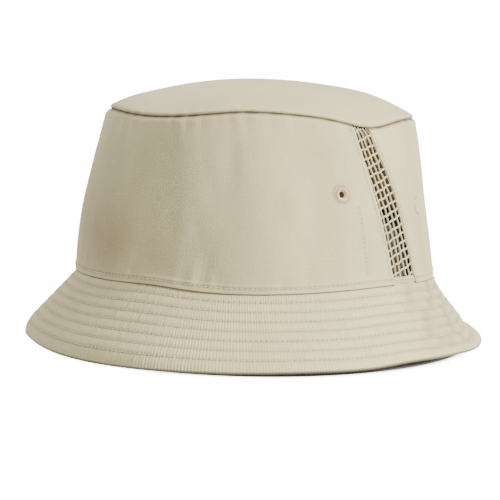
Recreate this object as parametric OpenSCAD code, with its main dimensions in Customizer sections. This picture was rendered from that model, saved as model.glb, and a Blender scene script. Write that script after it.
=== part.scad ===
// Bucket hat: twill crown and stitched brim with a leaning mesh vent and two eyelets on each side.
// Millimetres, +Z up. The hat stands on its brim edge at z = 0 with its front towards -Y.
// Every plan outline is an oval of four arcs that meet on 45 degree lines, so an offset of the oval
// keeps the same arc centres, and each shell is one profile of [offset, height] points turned about them.

/* [Crown] */
// Length of the crown outside at the brim seam, front to back
crown_length = 206; // [196:1:216]
// Width of the crown outside at the brim seam, side to side
crown_width = 180; // [172:1:186]
// Height of the side wall, from the brim seam to the tip seam
crown_height = 82; // [76:1:92]
// How far the tip seam lies inside the brim seam
tip_inset = 14; // [8:0.5:18]
// How far the side wall bulges beyond a straight slope
wall_bulge = 2; // [1:0.25:3]
// Rise of the domed tip above the tip seam
tip_rise = 17; // [10:0.5:20]
// Thickness of one layer of twill
cloth = 0.8; // [0.6:0.05:1]

/* [Brim] */
// Height of the brim seam above the brim edge
brim_drop = 34; // [30:1:40]
// How far the brim edge stands out from the crown
brim_reach = 26; // [22:1:32]
// Thickness of the stiffening between the two brim cloths
interlining_t = 1; // [0.6:0.1:1.4]
// Width of the brim edge where the two cloths turn in and meet
edge_turn = 3; // [2:0.5:4]
// Seam allowance of the brim, turned up inside the crown
allowance = 8; // [6:1:10]
// Distance between stitch rows, and from the seam to the first row
row_pitch = 5.2; // [4.5:0.1:5.2]

/* [Side vents] */
// Width of the vent at the tip seam
vent_top_w = 11; // [9:0.5:14]
// Width of the vent at the brim seam
vent_base_w = 21.5; // [14:0.5:22]
// Middle of the vent at the tip seam, forward of the side is negative
vent_top_y = -14; // [-18:1:-8]
// Middle of the vent at the brim seam
vent_base_y = 10; // [4:1:12]
// Columns of holes in the mesh
mesh_columns = 5; // [3:1:6]
// Rows of holes in the mesh
mesh_rows = 18; // [10:1:20]
// Width of a mesh strand
strand = 1; // [0.6:0.1:1.2]
// How much each cross strand climbs towards the back
strand_climb = 5.5; // [0:0.5:7]

/* [Eyelets] */
// Distance of each eyelet in front of or behind the side
eyelet_y = 31.5; // [28:0.5:36]
// Height of the eyelets in front of the vents above the brim seam
front_eyelet_z = 46; // [36:1:50]
// Height of the eyelets behind the vents above the brim seam
back_eyelet_z = 38; // [34:1:48]
// Outside diameter of the sewn ring
eyelet_d = 7.8; // [7:0.1:9]
// Diameter of the hole
eyelet_hole = 2.6; // [2:0.1:3.2]

/* [Inside] */
// Height of the sweatband
sweatband_h = 30; // [26:1:34]
// Thickness of the sweatband
sweatband_t = 1; // [0.8:0.1:1.2]
// Width of the tape over the tip seam
tape_w = 9; // [7:1:11]
// Width of the care label
label_w = 24; // [18:1:28]
// Length of the care label that hangs free
label_h = 30; // [24:1:34]

/* [Hidden] */
$fn = 96;
khaki = [0.83, 0.80, 0.72];
thread = [0.88, 0.85, 0.77];
mesh_cream = [0.90, 0.87, 0.79];
tape_beige = [0.76, 0.72, 0.63];
label_white = [0.94, 0.94, 0.92];
crown_top = brim_drop + crown_height;
oval_shift = (crown_length - crown_width) / 2 * (1 + sqrt(0.5)); // arc centres from the middle
end_r = crown_length / 2 - oval_shift;   // radius of the front and back arcs
side_r = crown_width / 2 + oval_shift;   // radius of the two side arcs
wall_steps = 6;
dome_steps = 8;
stitch_w = 0.5;       // width of a sewn row
stitch_proud = 0.3;   // how far thread stands above the cloth
stitch_seat = 0.07;   // where its underside is, just clear of the cloth
base_stitch_z = brim_drop + 2;
layer_gap = 0.1;      // room between layers that lie against each other
vent_stitch_gap = 2;  // from the vent's edge to its stitch row
clearance = 0.3;
brim_t = 2 * cloth + interlining_t;
inner_face = cloth + layer_gap;  // from the wall's outer face to the layers behind it
slant = norm([brim_reach + inner_face, brim_drop]);
slope_cos = (brim_reach + inner_face) / slant;
slope_sin = brim_drop / slant;
dome_flat = 2;        // width of the level rim round the middle of the tip
tip_run = end_r - tip_inset - dome_flat;
dome_r = (tip_run * tip_run + tip_rise * tip_rise) / (2 * tip_rise);
dome_angle = asin(tip_run / dome_r);
sweatband_top = brim_drop + sweatband_h;
vent_rake = (vent_base_y - vent_top_y) / crown_height;
sweatband_depth = cloth + brim_t + 2 * layer_gap;  // from the wall's outer face to the sweatband
label_t = 0.5;
label_sag = end_r - sqrt(end_r * end_r - label_w * label_w / 4);  // curve of the sweatband behind the label
label_y = crown_length / 2 + wall_u(sweatband_top) - sweatband_depth - sweatband_t
          - label_sag - clearance - label_t;
label_top = sweatband_top - label_t / 2 - clearance;

// Offset of the wall's outer face from the oval, at height z.
function wall_up(z) = (z - brim_drop) / crown_height;
function wall_u(z) = -tip_inset * wall_up(z) + 4 * wall_bulge * wall_up(z) * (1 - wall_up(z));
function wall_lean(z) = atan((tip_inset - 4 * wall_bulge * (1 - 2 * wall_up(z))) / crown_height);

// Profile of a band that follows the wall, from depth d0 to depth d1 inside its outer face.
function wall_line(z0, z1, d) =
    [for (i = [0:wall_steps]) let (z = z0 + (z1 - z0) * i / wall_steps) [wall_u(z) - d, z]];
function wall_band(z0, z1, d0, d1) = concat(wall_line(z0, z1, d0), wall_line(z1, z0, d1));

// Points on the brim: s along the slope from the seam, d below its upper face.
function brim_point(s, d) =
    [-inner_face + s * slope_cos - d * slope_sin, brim_drop - s * slope_sin - d * slope_cos];
function brim_edge(d) = brim_point((brim_drop - d * slope_cos) / slope_sin, d);
function brim_turn(d, w) = brim_point((brim_drop - d * slope_cos) / slope_sin - w, d);
function brim_bend(d) = [-inner_face - d, brim_drop - d * (1 - slope_sin) / slope_cos];
function brim_tail(d) = [wall_u(brim_drop + allowance) - inner_face - d, brim_drop + allowance];

// Front edge (side = -1) or back edge (side = 1) of the vent at height z.
function vent_middle(z) = vent_top_y + vent_rake * (crown_top - z);
function vent_width(z) = vent_top_w + (vent_base_w - vent_top_w) * (crown_top - z) / crown_height;
function vent_y(z, side) = vent_middle(z) + side * vent_width(z) / 2;

// A part of a profile's turn about one arc centre.
module arc(centre, radius, start, sweep, profile) {
    translate([centre[0], centre[1], 0])
        rotate([0, 0, start])
            rotate_extrude(angle = sweep)
                translate([radius, 0])
                    polygon(profile);
}

module side_arc(profile) {
    arc([-oval_shift, 0], side_r, -45, 90, profile);
}

module ring(profile) {
    for (turn = [0, 180]) rotate([0, 0, turn]) {
        side_arc(profile);
        arc([0, -oval_shift], end_r, 225, 90, profile);
    }
}

// The front half (side = -1) or back half (side = 1) of an oval ring, cut where the hat's sides are.
module half_ring(profile, side) {
    intersection() {
        ring(profile);
        translate([-crown_length, side < 0 ? -2 * crown_length : 0, -1])
            cube([2 * crown_length, 2 * crown_length, crown_top]);
    }
}

// A prism across the whole hat whose outline is drawn in [y, z].
module across_hat(length) {
    rotate([90, 0, 90])
        linear_extrude(length, center = true)
            children();
}

// Everything on the front (side = -1) or back (side = 1) of a line along one edge of the vents.
module beside_vents(side, gap) {
    low = brim_drop - 1;
    high = crown_top + 1;
    far = side * crown_length;
    across_hat(2 * crown_width)
        polygon([[vent_y(low, side) + side * gap, low], [far, low],
                 [far, high], [vent_y(high, side) + side * gap, high]]);
}

// Places its children on the wall at an eyelet, with +Z along the wall's outward normal.
module at_eyelet(side_x, side_y) {
    z = brim_drop + (side_y < 0 ? front_eyelet_z : back_eyelet_z);
    r = side_r + wall_u(z);
    mirror([side_x < 0 ? 1 : 0, 0, 0])
        translate([-oval_shift, 0, 0])
            rotate([0, 0, side_y * asin(eyelet_y / r)])
                translate([r, 0, z])
                    rotate([0, 90 - wall_lean(z), 0])
                        children();
}

// Points of the tip's profile, from the seam inwards, on a dome arc of radius r about a fixed centre.
function dome_line(r, top) =
    [for (i = [0:dome_steps]) let (a = dome_angle * (1 - i / dome_steps))
        [r * sin(a) + dome_flat - end_r, top - dome_r + r * cos(a)]];

// A dome that flattens towards the middle, where a thin lens between the two side arcs closes it.
module tip_panel() {
    top = crown_top + tip_rise + cloth;
    inner = dome_line(dome_r - cloth, top);
    profile = concat(dome_line(dome_r, top), [[-end_r, top], [-end_r, top - cloth]],
                     [for (i = [dome_steps:-1:1]) inner[i]],
                     [[-tip_inset - cloth, crown_top], [-tip_inset, crown_top]]);
    color(khaki) {
        ring(profile);
        translate([0, 0, top - cloth])
            linear_extrude(cloth)
                intersection_for (side = [-1, 1])
                    translate([side * oval_shift, 0])
                        circle(side_r - end_r + dome_flat / 2);
    }
}

module side_panel(side) {
    color(khaki)
        difference() {
            intersection() {
                ring(wall_band(brim_drop, crown_top, 0, cloth));
                beside_vents(side, 0);
            }
            for (side_x = [-1, 1])
                at_eyelet(side_x, side)
                    cylinder(h = 8, d = eyelet_d * 0.56, center = true);
        }
}

// One hole of the mesh, as a leaning four-sided cell drawn in [y, z].
module mesh_hole(column, row) {
    selvedge = 1.6;
    pitch = crown_height / (mesh_rows + 1);
    function corner(c, r) =
        let (part = c / mesh_columns,
             z = brim_drop + pitch * (r + 0.5) + strand_climb * (part - 0.5),
             w = vent_width(z) - 2 * selvedge)
        [vent_y(z, -1) + selvedge + w * part, z];
    inset = strand / 2;
    a = corner(column, row);
    b = corner(column + 1, row);
    c = corner(column + 1, row + 1);
    d = corner(column, row + 1);
    polygon([a + [inset, inset], b + [-inset, inset], c + [-inset, -inset], d + [inset, -inset]]);
}

module mesh_vent(side_x) {
    color(mesh_cream)
        mirror([side_x < 0 ? 1 : 0, 0, 0])
            intersection() {
                side_arc(wall_band(brim_drop, crown_top, 0.1, 0.7));
                across_hat(3 * crown_width)
                    difference() {
                        polygon([[vent_y(brim_drop, -1), brim_drop], [vent_y(brim_drop, 1), brim_drop],
                                 [vent_y(crown_top, 1), crown_top], [vent_y(crown_top, -1), crown_top]]);
                        for (column = [0:mesh_columns - 1], row = [0:mesh_rows - 1])
                            mesh_hole(column, row);
                    }
            }
}

// Upper brim cloth; its edge turns in to the middle of the brim's thickness.
module brim_upper(side) {
    color(khaki)
        half_ring([brim_edge(0), brim_bend(0), brim_tail(0), brim_tail(cloth), brim_bend(cloth),
                   brim_turn(cloth, edge_turn), brim_turn(brim_t / 2, edge_turn),
                   brim_edge(brim_t / 2)], side);
}

module brim_under(side) {
    color(khaki)
        half_ring([brim_edge(brim_t), brim_bend(brim_t), brim_tail(brim_t), brim_tail(brim_t - cloth),
                   brim_bend(brim_t - cloth), brim_turn(brim_t - cloth, edge_turn),
                   brim_turn(brim_t / 2, edge_turn), brim_edge(brim_t / 2)], side);
}

module brim_interlining() {
    d0 = cloth;
    d1 = cloth + interlining_t;
    color(label_white)
        ring([brim_turn(d0, edge_turn), brim_bend(d0), brim_tail(d0),
              brim_tail(d1), brim_bend(d1), brim_turn(d1, edge_turn)]);
}

module sweatband() {
    color(tape_beige)
        ring(wall_band(brim_drop, sweatband_top, sweatband_depth, sweatband_depth + sweatband_t));
}

module tip_seam_tape() {
    color(tape_beige)
        ring(wall_band(crown_top - tape_w, crown_top - layer_gap, inner_face, inner_face + 2 * cloth));
}

module brim_stitch_row(row) {
    s = row * row_pitch;
    color(thread)
        ring([brim_point(s - stitch_w / 2, -stitch_seat), brim_point(s - stitch_w / 2, -stitch_proud),
              brim_point(s + stitch_w / 2, -stitch_proud), brim_point(s + stitch_w / 2, -stitch_seat)]);
}

module crown_base_stitch() {
    low = base_stitch_z - stitch_w / 2;
    color(thread)
        ring(wall_band(low, low + stitch_w, -stitch_proud, -stitch_seat));
}

module vent_stitch(side_x, side_y) {
    color(thread)
        mirror([side_x < 0 ? 1 : 0, 0, 0])
            difference() {
                intersection() {
                    side_arc(wall_band(base_stitch_z + 1, crown_top - 1, -stitch_proud, -stitch_seat));
                    beside_vents(side_y, vent_stitch_gap);
                }
                beside_vents(side_y, vent_stitch_gap + stitch_w);
            }
}

// A ring of overcast thread: a domed flange outside, a barrel through the cloth, a flat flange inside.
module eyelet(side_x, side_y) {
    flange = (eyelet_d - eyelet_hole) / 4;
    middle = (eyelet_d + eyelet_hole) / 4;
    barrel = eyelet_d * 0.27;
    seat = 0.1;
    dome_h = 0.8;
    dome = [for (a = [0:15:180]) [middle + flange * cos(a), seat + dome_h * sin(a)]];
    color(thread)
        at_eyelet(side_x, side_y)
            rotate_extrude()
                polygon(concat(dome, [[eyelet_hole / 2, -cloth - 0.5], [middle + flange * 0.7, -cloth - 0.5],
                                      [middle + flange * 0.7, -cloth - seat], [barrel, -cloth - seat],
                                      [barrel, seat]]));
}

// The label's sewn end, laid over the top edge of the sweatband at the back.
module label_tab() {
    tab_t = 0.6;
    tab_length = 3.4;
    color(label_white)
        translate([-label_w / 2, label_y + label_t / 2 + layer_gap, sweatband_top + layer_gap / 2])
            cube([label_w, tab_length, tab_t]);
}

// The part that hangs free; its rounded fold lies on the line that it swings about.
module care_label() {
    color(label_white)
        translate([0, label_y, label_top]) {
            rotate([0, 90, 0])
                cylinder(h = label_w, d = label_t, center = true);
            translate([-label_w / 2, -label_t / 2, -label_h])
                cube([label_w, label_t, label_h]);
        }
}

tip_panel();
side_panel(-1);  // side_panel_front
side_panel(1);  // side_panel_back
mesh_vent(1);  // mesh_vent_left
mesh_vent(-1);  // mesh_vent_right
brim_upper(-1);  // brim_upper_front
brim_upper(1);  // brim_upper_back
brim_under(-1);  // brim_under_front
brim_under(1);  // brim_under_back
brim_interlining();
sweatband();
tip_seam_tape();
brim_stitch_row(1);  // brim_stitch_row_1
brim_stitch_row(2);  // brim_stitch_row_2
brim_stitch_row(3);  // brim_stitch_row_3
brim_stitch_row(4);  // brim_stitch_row_4
brim_stitch_row(5);  // brim_stitch_row_5
brim_stitch_row(6);  // brim_stitch_row_6
brim_stitch_row(7);  // brim_stitch_row_7
crown_base_stitch();
vent_stitch(1, -1);  // vent_stitch_front_left
vent_stitch(1, 1);  // vent_stitch_back_left
vent_stitch(-1, -1);  // vent_stitch_front_right
vent_stitch(-1, 1);  // vent_stitch_back_right
eyelet(1, -1);  // eyelet_front_left
eyelet(1, 1);  // eyelet_back_left
eyelet(-1, -1);  // eyelet_front_right
eyelet(-1, 1);  // eyelet_back_right
label_tab();
care_label();
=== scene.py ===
# %% [markdown]
# # A khaki bucket hat
# The hat is cut from cotton twill: an oval tip, a side wall in two panels, and a brim of two cloths
# with a stiffener between them, held flat by rows of stitching. The fixed frame gives every size here.
# We build each piece as its own mesh round that frame, so the pieces sit where the solids are.

# %% Load the frame
import bmesh
import bpy
import math
import numpy as np
from mathutils import Matrix, Vector


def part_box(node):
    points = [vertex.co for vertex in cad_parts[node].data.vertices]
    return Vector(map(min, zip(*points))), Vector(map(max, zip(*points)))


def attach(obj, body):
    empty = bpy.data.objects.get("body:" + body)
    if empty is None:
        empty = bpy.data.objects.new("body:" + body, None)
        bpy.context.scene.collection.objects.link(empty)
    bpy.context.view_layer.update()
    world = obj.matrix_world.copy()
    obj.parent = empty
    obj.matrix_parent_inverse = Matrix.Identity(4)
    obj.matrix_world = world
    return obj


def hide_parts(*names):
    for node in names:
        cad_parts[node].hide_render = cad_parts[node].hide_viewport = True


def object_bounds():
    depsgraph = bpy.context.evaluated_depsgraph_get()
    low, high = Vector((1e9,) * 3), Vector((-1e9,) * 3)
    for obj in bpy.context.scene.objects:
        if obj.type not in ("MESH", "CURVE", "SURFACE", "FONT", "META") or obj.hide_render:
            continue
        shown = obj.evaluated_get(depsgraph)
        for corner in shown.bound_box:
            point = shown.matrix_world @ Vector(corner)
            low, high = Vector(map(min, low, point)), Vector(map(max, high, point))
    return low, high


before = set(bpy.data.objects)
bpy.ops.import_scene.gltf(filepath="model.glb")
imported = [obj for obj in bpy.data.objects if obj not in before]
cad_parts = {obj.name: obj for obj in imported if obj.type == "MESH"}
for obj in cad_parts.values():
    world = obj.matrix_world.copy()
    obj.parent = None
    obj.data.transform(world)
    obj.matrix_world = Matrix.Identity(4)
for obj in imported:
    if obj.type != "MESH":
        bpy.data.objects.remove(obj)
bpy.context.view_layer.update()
MM = 0.001
print("solids in the frame:", len(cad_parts))

# %% [markdown]
# ## Reading the sizes
# A pattern maker measures the block before cutting. We read the same few sizes from the boxes of the
# solids: crown length and width at the brim seam, the heights of the two seams, and the brim's reach.

# %% Sizes from the solids
brim_box = [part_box(f"brim_upper_{half}") for half in ("front", "back")]
wall_box = [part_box(f"side_panel_{half}") for half in ("front", "back")]
tip_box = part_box("tip_panel")
seam_z = wall_box[0][0].z
crown_top = wall_box[0][1].z
crown_height = crown_top - seam_z
brim_half_length = brim_box[1][1].y
brim_half_width = brim_box[1][1].x
wall_half_length = -wall_box[0][0].y
brim_reach = brim_half_length - wall_half_length
crown_half_width = brim_half_width - brim_reach
tip_inset = wall_half_length - tip_box[1].y
tip_rise = tip_box[1].z - crown_top
CLOTH = 0.8 * MM
BRIM_THICK = 2.6 * MM
WALL_BULGE = 2 * MM
oval_shift = (wall_half_length - crown_half_width) * (1 + math.sqrt(0.5))
end_radius = wall_half_length - oval_shift
side_radius = crown_half_width + oval_shift
print(f"crown {2000 * wall_half_length:.1f} x {2000 * crown_half_width:.1f} mm,"
      f" wall {crown_height / MM:.1f} mm, brim reach {brim_reach / MM:.1f} mm,"
      f" tip rise {tip_rise / MM:.1f} mm")

# %% [markdown]
# ## The oval
# A hat block's plan is an oval. Four arcs that meet on 45 degree lines draw it, and moving every arc
# out by the same amount keeps it an oval. A place on the hat is then an angle round the oval, an offset
# from it, and a height.

# %% Points on the oval
def oval(angle, offset):
    """x and y at these angles (radians, 0 at the wearer's left) and offsets from the brim seam's oval."""
    nx, ny = np.cos(angle), np.sin(angle)
    on_side = np.abs(nx) > np.abs(ny)
    cx = np.where(on_side, -np.sign(nx) * oval_shift, 0.0)
    cy = np.where(on_side, 0.0, np.sign(ny) * oval_shift)
    radius = np.where(on_side, side_radius, end_radius) + offset
    return cx + radius * nx, cy + radius * ny


def wall_offset(z):
    up = (z - seam_z) / crown_height
    return -tip_inset * up + 4 * WALL_BULGE * up * (1 - up)


# %% [markdown]
# ## How real cloth strays from the pattern
# A sewn hat is never a perfect turned shape. Its seams rise and dip by a few millimetres, the brim's
# edge waves, and the wall has soft hollows. Each seam gets a few broad swells, given as an angle, a
# width and a height, and every piece uses the same ones, so that layers never part or cross.

# %% Swells of the three seams
def bell(x, width):
    """A smooth bump: 1 where x is 0, fading to nothing some three widths away."""
    return np.exp(-0.5 * (x / width) ** 2)


def swell(angle, swells):
    """Height in metres at each angle from swells of (angle, width) in degrees and height in mm."""
    total = np.zeros_like(angle)
    for centre, width, height in swells:
        apart = np.angle(np.exp(1j * (angle - math.radians(centre))))
        total += height * MM * bell(apart, math.radians(width))
    return total


TIP_SWELLS = [(-4, 9, -4.1), (-55, 34, 1.4), (-82, 17, -2.2), (-42, 12, 1.5), (-126, 13, 1.2), (28, 12, 0.9),
              (184, 9, -3.2), (95, 20, -1.4), (140, 14, 1.0)]
SEAM_SWELLS = [(-78, 10, 1.2), (-44, 13, -0.8), (-3, 13, 1.3), (34, 12, -0.9), (100, 16, 0.8),
               (150, 14, -0.7)]
EDGE_SWELLS = [(-7, 7, 1.9), (9, 8, 1.5), (-83, 14, -0.5), (-30, 9, 0.5), (-122, 12, 1.6),
               (24, 9, -0.8), (75, 14, 1.8), (115, 12, -1.2), (160, 14, 2.2), (-160, 11, -1.2)]


def smooth(x):
    x = np.clip(x, 0, 1)
    return x * x * (3 - 2 * x)


def lift(angle, z):
    """How far a point at this angle and height rises or dips."""
    above = smooth((z - seam_z) / crown_height)
    below = np.clip((seam_z - z) / seam_z, 0, 1)
    wall = swell(angle, SEAM_SWELLS) * (1 - above) + swell(angle, TIP_SWELLS) * above
    return wall * (1 - below) + swell(angle, EDGE_SWELLS) * below


def on_hat(angle, offset, z):
    """Points in space from an angle, an offset and a height, with the seams' swells."""
    x, y = oval(angle, offset)
    return np.stack([x, y, z + lift(angle, z)], -1)


# %% Soft hollows of the wall
rng = np.random.default_rng(7)
BROAD_FOLDS = [(n, rng.uniform(-70, 70), rng.uniform(0, 2 * math.pi), 0.42 / math.sqrt(n / 4))
               for n in (3, 4, 5, 6, 7, 9, 11, 13, 16)]
PUCKERS = [(n, rng.uniform(0, 2 * math.pi)) for n in (47, 59, 73, 88)]
SOFT_CREASES = [(n, climb, rng.uniform(0, 2 * math.pi))
                for n, climb in ((17, 0.06), (23, -0.09), (31, 0.05), (8, 0.11), (11, -0.13))]
print("folds:", len(BROAD_FOLDS), "broad,", len(PUCKERS), "fine")


def ripples(angle, z, climb):
    """Irregular gathers between about -1 and 1; climb makes them lean."""
    waves = [np.cos(n * angle + climb * z / MM + phase) for n, phase in PUCKERS]
    return (waves[0] + waves[1]) * 0.35 * (1 + 0.6 * waves[3] * waves[2])


def creases(angle, z):
    """Small soft creases that run up and down and lean, stronger in some places than in others."""
    waves = [np.cos(n * angle + climb * z / MM + phase) for n, climb, phase in SOFT_CREASES]
    return (waves[0] + waves[1] + waves[2]) * (0.5 + 0.5 * waves[3]) * (0.6 + 0.4 * waves[4])


def hollow(angle, z, place, height, size, depth):
    """One dent or bulge at an angle in degrees and a height in mm above the brim seam."""
    apart = np.angle(np.exp(1j * (angle - math.radians(place)))) * side_radius / MM
    rise = (z - seam_z) / MM - height
    return depth * np.exp(-0.5 * ((apart / size[0]) ** 2 + (rise / size[1]) ** 2))


# Each dent: angle in degrees, height above the brim seam, size round and up, depth in mm (out is positive).
WALL_DENTS = [(-95, 11, (15, 8), -3.0), (-112, 14, (12, 10), -1.2), (-98, 36, (18, 12), 1.2),
              (-74, 8, (9, 5), -1.1), (-88, 62, (16, 22), 0.8), (-139, 48, (34, 40), 1.3),
              (40, 36, (34, 22), -2.5), (-62, 45, (26, 30), 0.9), (-24, 60, (14, 12), -0.9)]


def relief(angle, z):
    """How far the wall stands out from its plain shape, in metres."""
    up = (z - seam_z) / crown_height
    middle = np.clip(4 * up * (1 - up), 0, 1) ** 0.5
    broad = sum(size * np.cos(n * angle + lean * z + phase) for n, lean, phase, size in BROAD_FOLDS)
    total = 0.8 * broad * middle + 0.22 * creases(angle, z) * middle
    from_top, from_seam = (crown_top - z) / MM, (z - seam_z) / MM
    total += 0.40 * ripples(angle, z, 0.10) * np.exp(-(from_top - 2) / 6) * smooth(from_top / 2)
    total += 0.42 * ripples(angle + 0.3, z, -0.12) * np.exp(-(from_seam - 3) / 6) * smooth(from_seam / 4)
    for dent in WALL_DENTS:
        total += hollow(angle, z, *dent)
    return total * MM


# %% [markdown]
# ## From a grid of points to cloth
# Cloth is a thin closed body, not a sheet with no thickness. We lay out a grid of points halfway
# through the cloth, push one copy out and one copy in along the surface's normals, and let both meet
# in a rounded edge. Each point also keeps its place in the flat cloth, in metres, as a UV map, so the
# weave follows the pattern piece, and two measures that the material reads: wear and shade.

# %% The cloth maker
def walked(path):
    """Distance from the start of a path to each of its points."""
    return np.concatenate([[0], np.cumsum(np.linalg.norm(np.diff(path, axis=0), axis=1))])


def normals_of(grid, wrap):
    du = (np.roll(grid, -1, 0) - np.roll(grid, 1, 0)) if wrap else np.gradient(grid, axis=0)
    normal = np.cross(du, np.gradient(grid, axis=1))
    return normal / np.maximum(np.linalg.norm(normal, axis=2, keepdims=True), 1e-12)


def bring_in(name, data):
    """A new object at the origin, linked into the scene."""
    made = bpy.data.objects.new(name, data)
    bpy.context.scene.collection.objects.link(made)
    return made


def add_mesh(name, points, faces, material, uv=None, measures=None, smooth_faces=True):
    """A new object at the origin from points and faces, which may mix threes and fours."""
    mesh = bpy.data.meshes.new(name)
    mesh.from_pydata([tuple(p) for p in points], [], [tuple(f) for f in faces])
    mesh.materials.append(material)
    if uv is not None:
        layer = mesh.uv_layers.new(name="Cloth")
        corner = np.empty(len(mesh.loops), np.int32)
        mesh.loops.foreach_get("vertex_index", corner)
        layer.data.foreach_set("uv", np.asarray(uv, np.float32)[corner].ravel())
    for label, values in (measures or {}).items():
        mesh.attributes.new(label, "FLOAT", "POINT").data.foreach_set("value", np.asarray(values, np.float32))
    mesh.polygons.foreach_set("use_smooth", [smooth_faces] * len(mesh.polygons))
    mesh.update()
    return bring_in(name, mesh)


def cloth(name, middle, uv, half_thick, material, wrap=False, pole=False, keep=None, shade=None, wear=None,
          cord=None):
    """A closed cloth body about a grid of middle points [along, up, xyz]."""
    nu, nv = middle.shape[:2]
    normal = normals_of(middle, wrap)
    if pole:
        normal[:, -1] = np.array([0, 0, 1.0])
    outer, inner = middle + normal * half_thick[..., None], middle - normal * half_thick[..., None]
    outer_id = np.arange(nu * nv).reshape(nu, nv)
    inner_id = outer_id + nu * nv
    edge = np.zeros((nu, nv), bool)
    edge[:, 0] = True
    if not pole:
        edge[:, -1] = True
    if not wrap:
        edge[0] = edge[-1] = True
    inner_id = np.where(edge, outer_id, inner_id)
    if pole:
        outer_id[:, -1], inner_id[:, -1] = outer_id[0, -1], inner_id[0, -1]
    last = nu if wrap else nu - 1
    faces = []
    for i in range(last):
        k = (i + 1) % nu
        for j in range(nv - 1):
            if keep is not None and not keep[i, j]:
                continue
            for ids, turn in ((outer_id, 1), (inner_id, -1)):
                ring = [ids[i, j], ids[k, j], ids[k, j + 1], ids[i, j + 1]][::turn]
                ring = [v for n, v in enumerate(ring) if v != ring[n - 1]]
                if len(ring) > 2:
                    faces.append(ring)
            if keep is None:
                continue
            for di, dj, a, b in ((-1, 0, (i, j + 1), (i, j)), (1, 0, (k, j), (k, j + 1)),
                                 (0, -1, (i, j), (k, j)), (0, 1, (k, j + 1), (i, j + 1))):
                ni, nj = i + di, j + dj
                if 0 <= ni < last and 0 <= nj < nv - 1 and not keep[ni, nj]:
                    faces.append([outer_id[b], outer_id[a], inner_id[a], inner_id[b]])
    points = np.concatenate([outer.reshape(-1, 3), inner.reshape(-1, 3)])
    used, faces = compact(faces, len(points))
    both = lambda grid: np.concatenate([grid.reshape(nu * nv, -1)] * 2)[used]
    zeros = np.zeros((nu, nv))
    measures = {"shade": both(zeros if shade is None else shade)[:, 0],
                "wear": both(zeros if wear is None else wear)[:, 0]}
    if cord is not None:
        measures["cord"] = both(cord)[:, 0]
    piece = add_mesh(name, points[used], faces, material, both(uv), measures)
    print(f"{name}: {len(faces)} faces")
    return piece


def settle(piece, slot, *nodes, body="hat"):
    """The piece rides on its body and stands for these solids, which it hides; the slot is not used."""
    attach(piece, body)
    if nodes:
        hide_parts(*nodes)


def compact(faces, count):
    """The points that faces use, and the faces renumbered to them."""
    seen = np.zeros(count, bool)
    for face in faces:
        seen[face] = True
    new = np.cumsum(seen) - 1
    return np.where(seen)[0], [[int(new[v]) for v in face] for face in faces]


def edge_round(distance, half):
    """Half the cloth's thickness near a rounded edge, at these distances from it."""
    d = np.clip(distance / half, 0, 1)
    return half * np.sqrt(np.clip(1 - (1 - d) ** 2, 0, 1))


def spaced(low, high, step, tight=(0.1, 0.25, 0.5, 0.9)):
    """Values from low to high about step apart, with a few close to each end for a rounded edge."""
    near = np.array([0.0, *tight]) * MM
    inner = np.linspace(low + 1.4 * MM, high - 1.4 * MM, max(3, int((high - low) / step)))
    return np.concatenate([low + near, inner, (high - near)[::-1]])


# %% [markdown]
# ## Materials as node trees
# Every finish here is cloth or thread, so each one is a Principled shader whose colour, roughness and
# bump come from a few noises and waves. Two short helpers keep the trees readable: one starts a
# material, the other adds a node and links or sets its inputs in the same line.

# %% Helpers for node trees
def plug(tree, node, inputs):
    for key, value in (inputs or {}).items():
        socket = node.inputs[key]
        if isinstance(value, bpy.types.NodeSocket):
            tree.links.new(value, socket)
        else:
            socket.default_value = value
    return node


def shade_node(tree, kind, inputs=None, output=0, prefix="ShaderNode", **settings):
    """Adds a node and gives back one of its outputs."""
    node = tree.nodes.new(prefix + kind)
    for key, value in settings.items():
        setattr(node, key, value)
    return plug(tree, node, inputs).outputs[output]


def calc(tree, operation, a, b=0.0, c=0.0):
    return shade_node(tree, "Math", {0: a, 1: b, 2: c}, operation=operation)


def tint(tree, how, amount, under, over):
    """One colour mixed with another; amount is a number or a socket."""
    return shade_node(tree, "Mix", {0: amount, 6: under, 7: over}, output=2, data_type="RGBA", blend_type=how)


def new_finish(name, roughness, sheen=0.0, sheen_roughness=0.5, specular=0.25):
    finish = bpy.data.materials.new(name)
    finish.use_nodes = True
    shader = finish.node_tree.nodes["Principled BSDF"]
    shader.inputs["Roughness"].default_value = roughness
    shader.inputs["Sheen Weight"].default_value = sheen
    shader.inputs["Sheen Roughness"].default_value = sheen_roughness
    shader.inputs["Specular IOR Level"].default_value = specular
    return finish, finish.node_tree, shader


# %% [markdown]
# ## Cotton twill
# Twill shows fine slanted ribs, because each weft thread passes under two warp threads and steps one
# along. A printed pattern would repeat; a wave texture turned to 58 degrees on the cloth's own UV
# map gives ribs that follow each pattern piece. Stretched noise adds the uneven yarn and wide noise the
# uneven dye. The mesh's shade measure darkens grooves, seams and soft patches with painted shade,
# and its wear measure lightens rubbed folds.

# %% The twill finish
RIB_PITCH = 0.95 * MM
CORD_PITCH = 1.3 * MM
WAVE_PER_METRE = 2 * math.pi / 20


def rib_wave(tree, uv, pitch, turn, wobble):
    flat = shade_node(tree, "Mapping", {"Vector": uv, "Rotation": (0, 0, math.radians(turn))})
    return shade_node(tree, "TexWave", {"Vector": flat, "Scale": WAVE_PER_METRE / pitch,
                                        "Distortion": wobble, "Detail": 2.0, "Detail Scale": 6.0}, output=1)


def yarn_noise(tree, uv, across, along, turn=0.0):
    """Noise whose grains are across and along metres in size."""
    flat = shade_node(tree, "Mapping", {"Vector": uv, "Rotation": (0, 0, math.radians(turn)),
                                        "Scale": (1 / across, 1 / along, 1)})
    return shade_node(tree, "TexNoise", {"Vector": flat, "Scale": 1.0, "Detail": 3.0})


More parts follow.
